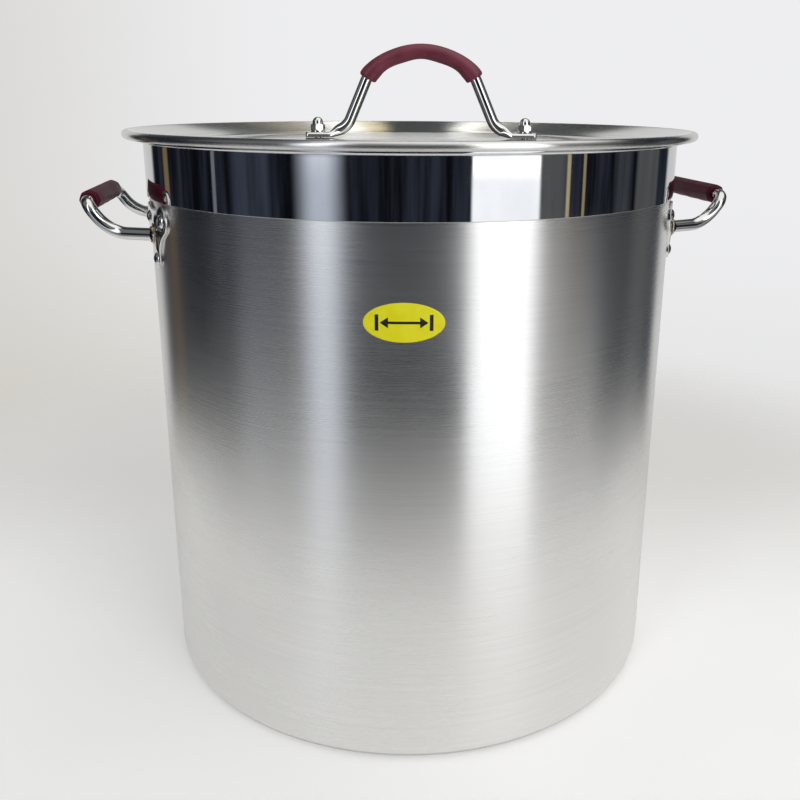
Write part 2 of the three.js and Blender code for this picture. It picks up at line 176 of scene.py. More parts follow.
def mesh_piece(name, rings, *materials, closed=False, material_of=None):
    """A closed, smooth surface through rings of points. Rings that don't close on themselves
    are capped at both ends."""
    if not closed:
        rings = [middle_ring(rings[0]), *rings, middle_ring(rings[-1])]
    count = len(rings[0])
    points = [Vector(point) * MM for ring in rings for point in ring]
    faces = []
    for row in range(len(rings) if closed else len(rings) - 1):
        below = row * count
        above = (row + 1) % len(rings) * count
        for column in range(count):
            ahead = (column + 1) % count
            faces.append((below + column, below + ahead, above + ahead, above + column))
    mesh = bpy.data.meshes.new(name)
    mesh.from_pydata(points, [], faces)
    tidy_mesh(mesh)
    for material in materials:
        mesh.materials.append(material)
    if material_of:
        for face in mesh.polygons:
            face.material_index = material_of(face.center / MM)
    piece = bpy.data.objects.new(name, mesh)
    bpy.context.scene.collection.objects.link(piece)
    return piece


def middle_ring(ring):
    """A ring whose points all lie in the middle of another one."""
    middle = sum((Vector(point) for point in ring), Vector()) / len(ring)
    return [middle] * len(ring)


def tidy_mesh(mesh):
    """Merges points that coincide, turns the faces outward and shades them smooth."""
    work = bmesh.new()
    work.from_mesh(mesh)
    bmesh.ops.remove_doubles(work, verts=work.verts, dist=1e-7)
    bmesh.ops.recalc_face_normals(work, faces=work.faces)
    work.to_mesh(mesh)
    work.free()
    mesh.shade_smooth()
    mesh.set_sharp_from_angle(angle=radians(38))


def join_pieces(pieces, name):
    """One object from several, with the first one's materials."""
    with bpy.context.temp_override(
        active_object=pieces[0], object=pieces[0],
        selected_objects=pieces, selected_editable_objects=pieces,
    ):
        bpy.ops.object.join()
    pieces[0].name = name
    return pieces[0]


def mix(a, b, share):
    return a + (b - a) * share


def shares(count):
    """Even steps from 0 to 1."""
    return [step / count for step in range(count + 1)]


def eased_shares(count):
    """Steps from 0 to 1, closer together near both ends."""
    return [(1 - cos(pi * step / count)) / 2 for step in range(count + 1)]


def turns(count):
    """Angles in even steps, once round."""
    return [2 * pi * step / count for step in range(count)]


def polar(radius, turn):
    return radius * cos(turn), radius * sin(turn)


def around(centre, radius, angle):
    """A point round a centre, at an angle in degrees from the first axis to the second."""
    x, y = polar(radius, radians(angle))
    return centre[0] + x, centre[1] + y


def arc(centre, radius, start, stop, steps):
    """Points of an arc in a plane, angles in degrees from the first axis to the second."""
    return [around(centre, radius, start + (stop - start) * step / steps) for step in range(steps + 1)]


def circle(radius, count):
    return [polar(radius, turn) for turn in turns(count)]


def curve(start, control, end, steps):
    """Points of a quadratic curve, without its first point."""
    return [
        tuple((1 - t) ** 2 * a + 2 * t * (1 - t) * b + t * t * c for a, b, c in zip(start, control, end))
        for t in shares(steps)[1:]
    ]


def smooth(value, low, high):
    """0 below low, 1 above high and a soft step between them."""
    share = min(1.0, max(0.0, (value - low) / (high - low)))
    return share * share * (3 - 2 * share)


def turned_rings(profile, segments):
    """Rings about the Z axis from (radius, height) points."""
    return [[(x, y, height) for x, y in circle(radius, segments)] for radius, height in profile]


def wall_matrix(angle, height):
    """Moves a shape about Z onto the wall: its Z points outward from the kettle's axis."""
    out = Vector((*polar(1, angle), 0))
    along = Vector((-out.y, out.x, 0))
    matrix = Matrix((along, (0, 0, 1), out)).transposed().to_4x4()
    matrix.translation = (0, 0, height)
    return matrix


def moved(rings, matrix):
    return [[matrix @ Vector(point) for point in ring] for ring in rings]


def on_wall(across, height, out, angle):
    """A point on a cylinder of radius out, at a distance round the wall from an angle."""
    return (*polar(out, angle + across / POT_RADIUS), height)


def inset(outline, distance):
    """The outline moved inward along its own normals."""
    points = []
    for before, (x, y), after in zip(outline[-1:] + outline, outline, outline[1:] + outline[:1]):
        along = (Vector(after) - Vector(before)).normalized()
        points.append((x - along.y * distance, y + along.x * distance))
    return points


def wall_plate_rings(outline, middle, angle, inner, thickness, bevel, swell=None):
    """Rings of a plate that follows the wall. Its outline runs anticlockwise in (across, height),
    and swell(across, height) raises its face."""
    sizes = [percent / 100 for percent in range(93, 8, -7)]

    def shrunk(points, size):
        return [(mix(middle[0], x, size), mix(middle[1], y, size)) for x, y in points]

    def ring(points, depth, lifted=False):
        places = []
        for x, y in points:
            lift = swell(x, y) if swell and lifted else 0
            places.append(on_wall(x, y, inner + depth + lift, angle))
        return places

    rings = [ring(shrunk(outline, size), 0) for size in reversed(sizes)]
    rings.append(ring(outline, 0))
    rings.append(ring(outline, thickness - bevel))
    for share in shares(4)[1:]:
        turn = pi / 2 * share
        edge = inset(outline, bevel * (1 - cos(turn)))
        rings.append(ring(edge, thickness - bevel * (1 - sin(turn)), True))
    face = inset(outline, bevel)
    rings += [ring(shrunk(face, size), thickness, True) for size in sizes]
    return rings


def bent_path(corners, radii, step=1.2):
    """Points along straight runs joined by round bends, one radius for each inner corner."""
    corners = [Vector(corner) for corner in corners]
    path = [corners[0]]
    for before, corner, after, radius in zip(corners, corners[1:], corners[2:], radii):
        back = (before - corner).normalized()
        ahead = (after - corner).normalized()
        half = back.angle(ahead) / 2
        centre = corner + (back + ahead).normalized() * radius / sin(half)
        reach = radius / tan(half)
        first = corner + back * reach - centre
        last = corner + ahead * reach - centre
        sweep = first.angle(last)
        path += straight_points(path[-1], centre + first, step)
        count = max(6, round(sweep * radius / step))
        for share in shares(count)[1:]:
            bend = first * sin((1 - share) * sweep) + last * sin(share * sweep)
            path.append(centre + bend / sin(sweep))
    path += straight_points(path[-1], corners[-1], step)
    return path


def straight_points(start, end, step):
    """Points from start to end, without the start itself."""
    count = max(1, round((end - start).length / step))
    return [start.lerp(end, share) for share in shares(count)[1:]]


def tube_rings(path, section, side):
    """Rings along a path. section(index) gives the ring's (side, up) points, and side is the
    first ring's side direction, which turns with the path."""
    rings = []
    side = Vector(side)
    for index, point in enumerate(path):
        before = path[max(index - 1, 0)]
        after = path[min(index + 1, len(path) - 1)]
        along = (after - before).normalized()
        side = (side - along * side.dot(along)).normalized()
        up = side.cross(along)
        rings.append([point + side * a + up * b for a, b in section(index)])
    return rings


# ---------- materials ----------

class Nodes:
    """Short calls for the nodes that the materials and the studio need."""

    def __init__(self, tree):
        self.tree = tree

    def feed(self, value, socket):
        if isinstance(value, bpy.types.NodeSocket):
            self.tree.links.new(value, socket)
        else:
            socket.default_value = value

    def add(self, kind, inputs=None, **settings):
        node = self.tree.nodes.new(kind)
        for key, value in settings.items():
            setattr(node, key, value)
        for key, value in (inputs or {}).items():
            self.feed(value, node.inputs[key])
        return node

    def math(self, operation, a, b=0.0):
        return self.add("ShaderNodeMath", {0: a, 1: b}, operation=operation).outputs["Value"]

    def plus(self, a, b):
        return self.math("ADD", a, b)

    def times(self, a, b):
        return self.math("MULTIPLY", a, b)

    def ramp(self, value, low, high, bottom=0.0, top=1.0):
        """A value eased from bottom to top as it goes from low to high."""
        return self.add("ShaderNodeMapRange", {
            "Value": value, "From Min": low, "From Max": high, "To Min": bottom, "To Max": top,
        }, interpolation_type="SMOOTHSTEP").outputs["Result"]

    def blend(self, share, a, b):
        """A colour that goes from a to b with a share."""
        node = self.add("ShaderNodeMix", {"Factor": share}, data_type="RGBA")
        for index, colour in ((6, a), (7, b)):
            linked = isinstance(colour, bpy.types.NodeSocket)
            self.feed(colour if linked else (*colour, 1), node.inputs[index])
        return node.outputs[2]


class Shader(Nodes):
    """A material with its surface shader. An underscore stands for a space in a socket's name."""

    def __init__(self, name, **constants):
        self.material = bpy.data.materials.new(name)
        self.material.use_nodes = True
        super().__init__(self.material.node_tree)
        self.surface = self.tree.nodes["Principled BSDF"]
        self.place = self.add("ShaderNodeTexCoord").outputs["Object"]
        self.set(**constants)

    def set(self, **values):
        for name, value in values.items():
            self.feed(value, self.surface.inputs[name.replace("_", " ")])

    def finish(self, colour, rough, relief, tangent=None):
        """Covers the surface and returns the material."""
        self.set(Base_Color=colour, Roughness=rough, Normal=relief)
        if tangent:
            self.set(Tangent=tangent)
        return self.material

    def noise(self, scale, detail=3.0, roughness=0.55, place=None):
        """Noise with one scale per metre, or one for each axis."""
        scales = scale if isinstance(scale, tuple) else (scale, scale, scale)
        stretched = self.add("ShaderNodeMapping", {"Vector": place or self.place, "Scale": scales})
        return self.add("ShaderNodeTexNoise", {
            "Vector": stretched.outputs["Vector"], "Scale": 1.0, "Detail": detail, "Roughness": roughness,
        }).outputs["Fac"]

    def spread(self, noise, bottom=0.0, top=1.0):
        """A ramp over the range that noise mostly stays in."""
        return self.ramp(noise, 0.3, 0.7, bottom, top)

    def bump(self, height, distance, strength=1.0):
        inputs = {"Height": height, "Distance": distance, "Strength": strength}
        return self.add("ShaderNodeBump", inputs).outputs["Normal"]

    def coordinates(self):
        return self.add("ShaderNodeSeparateXYZ", {"Vector": self.place}).outputs

    def distance_from_axis(self):
        at = self.coordinates()
        return self.math("SQRT", self.plus(self.times(at["X"], at["X"]), self.times(at["Y"], at["Y"])))

    def ring_place(self):
        """Coordinates that change only with the distance from the axis, for turned marks."""
        return self.add("ShaderNodeCombineXYZ", {"X": self.distance_from_axis()}).outputs["Vector"]

    def around_tangent(self):
        """Highlights stretched across a grain that runs round the Z axis."""
        self.set(Anisotropic_Rotation=0.25)
        return self.add("ShaderNodeTangent", direction_type="RADIAL", axis="Z").outputs["Tangent"]


def satin_wall():
    """Fine grain that runs round the wall, cloudy polishing marks and a few long scratches."""
    shader = Shader("satin_wall", Metallic=1.0, Anisotropic=0.7)
    grain = shader.noise((14, 14, 3600), roughness=0.6)
    coarse = shader.noise((3, 3, 500), detail=2)
    cloud = shader.noise((7, 7, 10))
    scratch = shader.ramp(shader.noise((14, 14, 1500), detail=1), 0.72, 0.8)
    tone = shader.plus(shader.times(grain, 0.85), shader.times(coarse, 0.15))
    steel = shader.blend(shader.ramp(tone, 0.34, 0.66), (0.73, 0.725, 0.71), (0.79, 0.785, 0.775))
    worn = shader.blend(shader.times(scratch, 0.3), steel, (0.86, 0.86, 0.85))
    rough = shader.plus(shader.spread(cloud, 0.26, 0.3), shader.spread(grain, -0.015, 0.015))
    relief = shader.bump(grain, 0.00002, 0.12)
    return shader.finish(worn, rough, relief, shader.around_tangent())


def mirror_steel(name, tint, roughness, wave):
    """Buffed steel: hairline swirls, faint haze and the slight waviness of polished sheet."""
    shader = Shader(name, Metallic=1.0)
    haze = shader.noise(30, detail=4)
    hairline = shader.noise((60, 60, 1800), detail=2)
    ripple = shader.noise((26, 26, 12), detail=1)
    colour = shader.blend(shader.spread(haze), tint, tuple(c * 0.93 for c in tint))
    hazy = shader.ramp(haze, 0.35, 0.75, roughness * 0.7, roughness * 1.5)
    rough = shader.plus(hazy, shader.ramp(hairline, 0.62, 0.75, 0, 0.05))
    relief = shader.bump(ripple, wave)
    return shader.finish(colour, rough, relief)


def inside_steel():
    """The inside of the pot: a duller drawn surface with grain round the wall."""
    shader = Shader("inside_steel", Metallic=1.0, Anisotropic=0.5)
    grain = shader.noise((10, 10, 1500), detail=4)
    cloud = shader.noise(12, detail=4)
    colour = shader.blend(shader.ramp(grain, 0.35, 0.65), (0.5, 0.5, 0.49), (0.62, 0.615, 0.6))
    rough = shader.spread(cloud, 0.3, 0.42)
    relief = shader.bump(grain, 0.00003, 0.4)
    return shader.finish(colour, rough, relief, shader.around_tangent())


def spun_lid():
    """Turning marks about the middle of the lid, with soft radial glints and a duller bead."""
    shader = Shader("spun_lid", Metallic=1.0, Anisotropic=0.93)
    rings = shader.ring_place()
    marks = shader.noise((2600, 1, 1), detail=4, roughness=0.7, place=rings)
    bands = shader.noise((160, 1, 1), place=rings)
    cloud = shader.noise(11)
    tone = shader.plus(shader.times(marks, 0.5), shader.times(bands, 0.5))
    colour = shader.blend(shader.ramp(tone, 0.36, 0.64), (0.6, 0.595, 0.575), (0.74, 0.735, 0.715))
    spun = shader.plus(shader.spread(cloud, 0.09, 0.12), shader.spread(marks, -0.01, 0.01))
    bead_start = (LID_BEAD_RADIUS - LID_BEAD_ROLL) * MM
    rolled = shader.ramp(shader.distance_from_axis(), bead_start, LID_BEAD_RADIUS * MM, 0.0, 0.17)
    rough = shader.plus(spun, rolled)
    relief = shader.bump(marks, 0.00002, 0.2)
    return shader.finish(colour, rough, relief, shader.around_tangent())


def base_steel():
    """The underside: turned rings, scuffed where the kettle slides on a hob."""
    shader = Shader("base_steel", Metallic=1.0)
    marks = shader.noise((900, 1, 1), place=shader.ring_place())
    scuff = shader.ramp(shader.noise((70, 9, 9), detail=4), 0.55, 0.7)
    colour = shader.blend(shader.ramp(marks, 0.35, 0.65), (0.48, 0.475, 0.46), (0.62, 0.615, 0.6))
    rough = shader.plus(shader.spread(marks, 0.3, 0.4), shader.times(scuff, 0.12))
    relief = shader.bump(shader.plus(marks, scuff), 0.00006, 0.5)
    return shader.finish(colour, rough, relief)


def silicone_sleeve(name, colours, sheen, gloss):
    """Moulded burgundy silicone: fine pores and slightly rubbed, lighter patches."""
    deep, light, rubbed = colours
    shader = Shader(name, Sheen_Weight=sheen, Sheen_Roughness=0.45, Specular_IOR_Level=gloss)
    shader.set(Sheen_Tint=(0.9, 0.5, 0.58, 1))
    pores = shader.noise(2400, detail=2)
    cloud = shader.noise(55)
    rub = shader.ramp(shader.noise(130, detail=4), 0.55, 0.75)
    base = shader.blend(shader.spread(cloud), deep, light)
    colour = shader.blend(shader.times(rub, 0.35), base, rubbed)
    rough = shader.plus(shader.spread(cloud, 0.42, 0.52), shader.times(rub, 0.08))
    relief = shader.bump(pores, 0.00006, 0.5)
    return shader.finish(colour, rough, relief)


def weld_metal():
    """Heat-tinted weld: straw and brown tones over rippled steel."""
    shader = Shader("weld_metal", Metallic=1.0)
    tint = shader.noise(420)
    straw = shader.blend(shader.ramp(tint, 0.35, 0.5), (0.2, 0.13, 0.07), (0.62, 0.47, 0.27))
    colour = shader.blend(shader.ramp(tint, 0.52, 0.66), straw, (0.6, 0.58, 0.55))
    rough = shader.spread(tint, 0.18, 0.4)
    relief = shader.bump(shader.noise(1500, detail=2), 0.0001, 0.5)
    return shader.finish(colour, rough, relief)


def label_film():
    """Yellow vinyl with a faint paper tooth and slightly uneven gloss."""
    shader = Shader("yellow_film", Coat_Weight=0.3, Coat_Roughness=0.2)
    tooth = shader.noise(1600, detail=2)
    cloud = shader.noise(90)
    colour = shader.blend(shader.spread(cloud), (0.92, 0.84, 0.008), (0.97, 0.92, 0.02))
    rough = shader.spread(cloud, 0.34, 0.46)
    return shader.finish(colour, rough, shader.bump(tooth, 0.00002, 0.4))


def label_ink():
    """Black print with tiny gaps where the film shows through."""
    shader = Shader("black_ink")
    gaps = shader.ramp(shader.noise(1400), 0.6, 0.75)
    colour = shader.blend(shader.times(gaps, 0.5), (0.012, 0.012, 0.014), (0.25, 0.22, 0.02))
    rough = shader.ramp(gaps, 0, 1, 0.4, 0.55)
    shader.set(Base_Color=colour, Roughness=rough)
    return shader.material


# ---------- pieces ----------

def place_piece(piece, body, node=None):
    """Rides the piece on its body and hides the CAD node it stands for."""
    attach(piece, body)
    if node:
        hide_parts(node)


def step_out(low, high, start, end):
    """(radius, height) points that ease from one radius to another."""
    return [(mix(start, end, smooth(share, 0, 1)), mix(low, high, share)) for share in shares(8)]


def make_pot(wall, band, inside, base):
    """The pot's outside from the base up, round its rim and down the inside."""
    band_radius = POT_RADIUS + BAND_STEP
    inner = POT_RADIUS - POT_WALL
    inner_band = band_radius - POT_WALL
    roll_bottom = POT_TOP - RIM_ROLL - 4
    band_start = BAND_BOTTOM + BAND_SHOULDER
    rim = (inner_band + RIM_ROLL, POT_TOP - RIM_ROLL)
    lip = around(rim, RIM_ROLL - POT_WALL / 2, RIM_END)
    outer_corner = (POT_RADIUS - BASE_CORNER, BASE_CORNER)
    inner_corner_radius = BASE_CORNER - 2
    inner_corner = (inner - inner_corner_radius, BASE_THICKNESS + inner_corner_radius)
    shoulder_inside = step_out(BAND_BOTTOM + 0.4, band_start + 0.4, inner, inner_band)
    profile = [
        (POT_RADIUS - BASE_CORNER - 6, 0),
        *arc(outer_corner, BASE_CORNER, -90, 0, 18),
        (POT_RADIUS, BASE_CORNER + 4),
        *[(POT_RADIUS, height) for height in range(40, BAND_BOTTOM - 10, 40)],
        (POT_RADIUS, BAND_BOTTOM - 1),
        *step_out(BAND_BOTTOM, band_start, POT_RADIUS, band_radius),
        (band_radius, band_start + 1.5),
        (band_radius, roll_bottom),
        *arc(rim, RIM_ROLL - POT_WALL, 180, RIM_END, 24),
        *arc(lip, POT_WALL / 2, RIM_END + 180, RIM_END + 360, 6)[1:-1],
        *arc(rim, RIM_ROLL, RIM_END, 180, 36),
        (inner_band, roll_bottom),
        (inner_band, band_start + 2),
        *reversed(shoulder_inside),
        (inner, BAND_BOTTOM - 1),
        (inner, BASE_THICKNESS + BASE_CORNER + 4),
        *arc(inner_corner, inner_corner_radius, 0, -90, 14),
        (inner - BASE_CORNER - 4, BASE_THICKNESS),
    ]

    def part_of(at):
        """Place of a point's material among wall, band, inside and base."""
        out = hypot(at.x, at.y)
        half_wall = POT_WALL / 2
        beside_band = at.z > BAND_BOTTOM
        if at.z < half_wall:
            return 3
        if out < inner + half_wall:
            return 2
        if beside_band and out < band_radius - half_wall and at.z < POT_TOP - RIM_ROLL:
            return 2
        return int(beside_band)

    rings = turned_rings(profile, 360)
    pot = mesh_piece("pot_body", rings, wall, band, inside, base, material_of=part_of)
    place_piece(pot, "pot", "pot_shell")


def bracket_angle(side, end):
    """Front is toward the label on both sides."""
    sign = ENDS[end] if side == "right" else -ENDS[end]
    return SIDES[side] + sign * FOOT_ANGLE


def bracket_outline():
    """A plate with two upper lobes for rivets, a dip between them and a lower ear."""
    side, height = UPPER_RIVET
    lobe = PLATE_TOP - height
    corner = lobe * sqrt(0.5)
    dip = PLATE_TOP - PLATE_DIP
    waist, waist_height = PLATE_WAIST
    outline = arc((side, height), lobe, -45, 90, 22)
    outline += curve(outline[-1], (side / 2, dip), (0, dip), 10)
    outline += curve((0, dip), (-side / 2, dip), (-side, PLATE_TOP), 10)
    outline += arc((-side, height), lobe, 90, 225, 22)[1:]
    outline += curve(outline[-1], (-waist, waist_height), (-EAR_HALF_WIDTH, LOWER_RIVET[1]), 14)
    for share in shares(24)[1:]:
        turn = pi * (1 + share)
        outline.append((EAR_HALF_WIDTH * cos(turn), LOWER_RIVET[1] + EAR_DROP * sin(turn)))
    outline += curve(outline[-1], (waist, waist_height), (side + corner, height - corner), 14)[:-1]
    return outline


def bracket_swell(across, height):
    """The plate is dished round its rivets and swells toward the boss."""
    from_boss = hypot(across, height - FOOT_HEIGHT)
    lift = 0.9 * (1 - smooth(from_boss, BOSS_RADIUS - 1, BOSS_RADIUS + 7))
    for x, y in ((-UPPER_RIVET[0], UPPER_RIVET[1]), UPPER_RIVET, LOWER_RIVET):
        from_rivet = hypot(across - x, height - y)
        lift -= 0.35 * (1 - smooth(from_rivet, RIVET_HEAD_RADIUS, RIVET_HEAD_RADIUS + 2.5))
    return lift


def make_bracket(side, end, polished):
    """A stamped plate with a turned boss that takes one foot of the rod."""
    angle = bracket_angle(side, end)
    plate_rings = wall_plate_rings(
        bracket_outline(), (0, FOOT_HEIGHT), angle, PLATE_INNER, PLATE_THICKNESS, PLATE_BEVEL, bracket_swell,
    )
    boss_profile = [
        (BOSS_RADIUS + 1.8, PLATE_INNER + 1),
        (BOSS_RADIUS + 0.6, PLATE_INNER + 1.9),
        (BOSS_RADIUS - 0.2, PLATE_INNER + 2.3),
        *arc((BOSS_FACE_RADIUS - 1, FOOT_FACE - 1), 1, 30, 90, 8),
        (ROD_RADIUS + 0.8, FOOT_FACE),
        (ROD_RADIUS, FOOT_FACE - 0.2),
    ]
    boss_rings = moved(turned_rings(boss_profile, 64), wall_matrix(angle, FOOT_HEIGHT))
    plate = mesh_piece("plate", plate_rings, polished)
    boss = mesh_piece("boss", boss_rings, polished)
    bracket = join_pieces([plate, boss], f"bracket_{side}_{end}")
    place_piece(bracket, "pot", f"handle_bracket_{side}_{end}")


def make_rivets(side, end, polished):
    """Domed heads outside the plate and flat set tails inside the pot."""
    seat = PLATE_INNER + PLATE_THICKNESS - 0.4
    tail = POT_RADIUS - POT_WALL - 0.05
    bulge = (RIVET_HEAD_RADIUS ** 2 + RIVET_HEAD_HEIGHT ** 2) / (2 * RIVET_HEAD_HEIGHT)
    rise = degrees(asin(RIVET_HEAD_RADIUS / bulge))
    profile = [
        (3, tail - 1.1),
        *arc((3.3, tail - 0.7), 0.4, -90, 0, 5),
        (RIVET_TAIL_RADIUS, tail - 0.2),
        (RIVET_TAIL_RADIUS, tail),
        (RIVET_RADIUS, tail),
        (RIVET_RADIUS, seat),
        (RIVET_HEAD_RADIUS - 0.15, seat),
        *arc((0, seat + RIVET_HEAD_HEIGHT - bulge), bulge, 90 - rise, 88, 14),
    ]
    middle = bracket_angle(side, end)
    spread = UPPER_RIVET[0] / POT_RADIUS
    places = ((middle - spread, UPPER_RIVET[1]), (middle + spread, UPPER_RIVET[1]), (middle, LOWER_RIVET[1]))
    for number, (angle, height) in enumerate(places, start=1):
        rings = moved(turned_rings(profile, 40), wall_matrix(angle, height))
        rivet = mesh_piece(f"handle_rivet_{side}_{end}_{number}", rings, polished)
        place_piece(rivet, "pot", f"rivet_{side}_{end}_{number}")


def side_rod_path():
    """The rod's centre line at the right side, from its front foot to its back foot."""
    foot = (*polar(FOOT_FACE - 0.5, FOOT_ANGLE), FOOT_HEIGHT)
    half = [foot, KNEE, CORNER]
    corners = [(out, -across, up) for out, across, up in half]
    corners += [(out, across, up) for out, across, up in reversed(half)]
    return bent_path(corners, [KNEE_RADIUS, CORNER_RADIUS, CORNER_RADIUS, KNEE_RADIUS])


def side_matrix(side):
    """Turns a shape from the right side to its own side."""
    return Matrix.Rotation(SIDES[side], 4, "Z")


def make_side_rod(side, polished):
    """The bent rod from bracket to bracket."""
    rings = tube_rings(side_rod_path(), lambda index: circle(ROD_RADIUS, 48), (0, 0, 1))
    rod = mesh_piece(f"handle_rod_{side}", moved(rings, side_matrix(side)), polished)
    place_piece(rod, "pot", f"side_handle_rod_{side}")


def make_side_weld(side, end, weld):
    """A rippled bead where the rod's foot meets the boss."""
    rings = []
    for turn in turns(120):
        ripple = 0.16 * sin(19 * turn) + 0.12 * sin(7 * turn + 1)
        bead = arc((ROD_RADIUS + 0.2, FOOT_FACE), WELD_RADIUS + ripple, 0, 337.5, 15)
        rings.append([(*polar(out, turn), up) for out, up in bead])
    rings = moved(rings, wall_matrix(bracket_angle(side, end), FOOT_HEIGHT))
    bead = mesh_piece(f"handle_weld_{side}_{end}", rings, weld, closed=True)
    place_piece(bead, "pot")


def soft_octagon(turn):
    """A radius factor for a round section with eight soft flats."""
    softness = 0.55
    step = pi / 4
    flat = cos(step / 2) / cos(turn % step - step / 2)
    return 1 + (flat - 1) * softness


def sleeve_rings(path, radius_of, side, rounding):
    """A sleeve with rounded ends: its outside along the path and its bore back again."""
    count = 56
    thinnest = GRIP_BORE_RADIUS + 0.25
    lengths = [0.0]
    for before, after in zip(path, path[1:]):
        lengths.append(lengths[-1] + (after - before).length)
    total = lengths[-1]

    def outside(index):
        from_end = min(lengths[index], total - lengths[index])
        share = min(1.0, from_end / rounding)
        drop = rounding * (1 - sqrt(max(0.0, 1 - (1 - share) ** 2)))
        return [
            polar(max(thinnest, radius_of(lengths[index] / total, turn) - drop), turn)
            for turn in turns(count)
        ]

    outer = tube_rings(path, outside, side)
    inner = tube_rings(path, lambda index: circle(GRIP_BORE_RADIUS, count), side)
    return outer + list(reversed(inner))


def make_side_grip(side, silicone):
    """A sleeve with eight soft flats and faint waves underneath."""
    path = [Vector((CORNER[0], (2 * share - 1) * SIDE_GRIP_HALF, CORNER[2])) for share in eased_shares(72)]

    def radius(share, turn):
        waves = 0.1 * (1 - cos(2 * pi * 4 * share)) * smooth(-sin(turn), -0.1, 0.8)
        return SIDE_GRIP_RADIUS * soft_octagon(turn) - waves

    rings = sleeve_rings(path, radius, (1, 0, 0), 2.2)
    grip = mesh_piece(f"handle_sleeve_{side}", moved(rings, side_matrix(side)), silicone, closed=True)
    place_piece(grip, "pot", f"side_handle_grip_{side}")


def handle_matrix(across=0.0):
    """Moves a shape from the middle of the handle, or beside it, onto the turned lid."""
    return Matrix.Rotation(LID_TURN, 4, "Z") @ Matrix.Translation((HANDLE_SHIFT + across, 0, 0))


def make_lid_pan(spun):
    """The lid's top from its middle out, round its bead and back underneath."""
    well = LID_FLOOR - LID_WELL_DROP
    well_edge = LID_WELL_RADIUS - 5
    flare = LID_WELL_RADIUS + 3
    flare_above = (flare, well + 1.2)
    flare_below = (flare + 0.3, well + 0.3)
    under = LID_FLOOR - LID_SHEET
    under_well = well - LID_SHEET
    bead = (LID_BEAD_RADIUS, LID_TOP - LID_BEAD_ROLL)
    bead_outside = arc(bead, LID_BEAD_ROLL, LID_BEAD_END, LID_BEAD_START, 36)
    bead_inside = arc(bead, LID_BEAD_ROLL - LID_SHEET, LID_BEAD_START, LID_BEAD_END, 28)
    lip = around(bead, LID_BEAD_ROLL - LID_SHEET / 2, LID_BEAD_END)
    upper = [
        *bead_outside,
        *flare_points(bead_outside[-1], flare_above),
        *curve(flare_above, (LID_WELL_RADIUS - 0.5, well), (well_edge, well), 8),
        *well_points(well_edge, LID_FLAT_RADIUS, well, LID_FLOOR),
        (90, LID_FLOOR),
        (40, LID_FLOOR),
    ]
    lower = [
        (40, under),
        (90, under),
        *reversed(well_points(well_edge, LID_FLAT_RADIUS, under_well, under)),
        *reversed(curve(flare_below, (LID_WELL_RADIUS, under_well), (well_edge, under_well), 8)),
        *reversed(flare_points(bead_inside[0], flare_below)),
        *bead_inside,
        *arc(lip, LID_SHEET / 2, LID_BEAD_END + 180, LID_BEAD_END, 6)[1:-1],
    ]
    pan = mesh_piece("lid_body", turned_rings([*reversed(upper), *reversed(lower)], 360), spun)
    place_piece(pan, "lid", "lid_pan")


def flare_points(start, end):
    """The lid's sloping side, very slightly hollow."""
    points = []
    for share in shares(10)[1:-1]:
        hollow = 0.25 * sin(pi * share)
        points.append((mix(start[0], end[0], share), mix(start[1], end[1], share) - hollow))
    return points


def well_points(outer, inner, low, high):
    """The shallow ring between the lid's edge and its flat middle."""
    return [(mix(outer, inner, share), mix(low, high, smooth(share, 0, 1))) for share in shares(8)[1:]]


def from_top(centre, radius, angle):
    """A point at an angle from straight up round a centre, as (outward, height)."""
    return centre[0] + radius * sin(angle), centre[1] + radius * cos(angle)


ARCH_MIDDLE = (0, ARCH_TOP - ARCH_RADIUS)
SHOULDER_MIDDLE = from_top(ARCH_MIDDLE, ARCH_RADIUS - SHOULDER_RADIUS, ARCH_ANGLE)


def arch_points(reach, count):
    """The handle's rounded top from -reach to reach, measured from straight up."""
    points = []
    for share in eased_shares(count):
        angle = (2 * share - 1) * reach
        size = abs(angle)
        on_arch = size < ARCH_ANGLE
        radius = ARCH_RADIUS if on_arch else SHOULDER_RADIUS
        out, up = from_top(ARCH_MIDDLE if on_arch else SHOULDER_MIDDLE, radius, size)
        points.append(Vector((copysign(out, angle), 0, up)))
    return points


def lid_rod_path():
    """Tab, foot bend, leg, arch and the same again in reverse."""
    leg_top = from_top(SHOULDER_MIDDLE, SHOULDER_RADIUS, LEG_ANGLE)
    foot_height = TAB_SEAT + ROD_RADIUS
    ankle = (leg_top[0] + (leg_top[1] - foot_height) / tan(LEG_ANGLE), foot_height)
    corners = [(out, 0, up) for out, up in (leg_top, ankle, (TAB_OUTER, foot_height))]
    right = bent_path(corners, [FOOT_BEND], 0.8)
    left = [Vector((-point.x, 0, point.z)) for point in reversed(right)]
    return left + arch_points(LEG_ANGLE, 90)[1:-1] + right


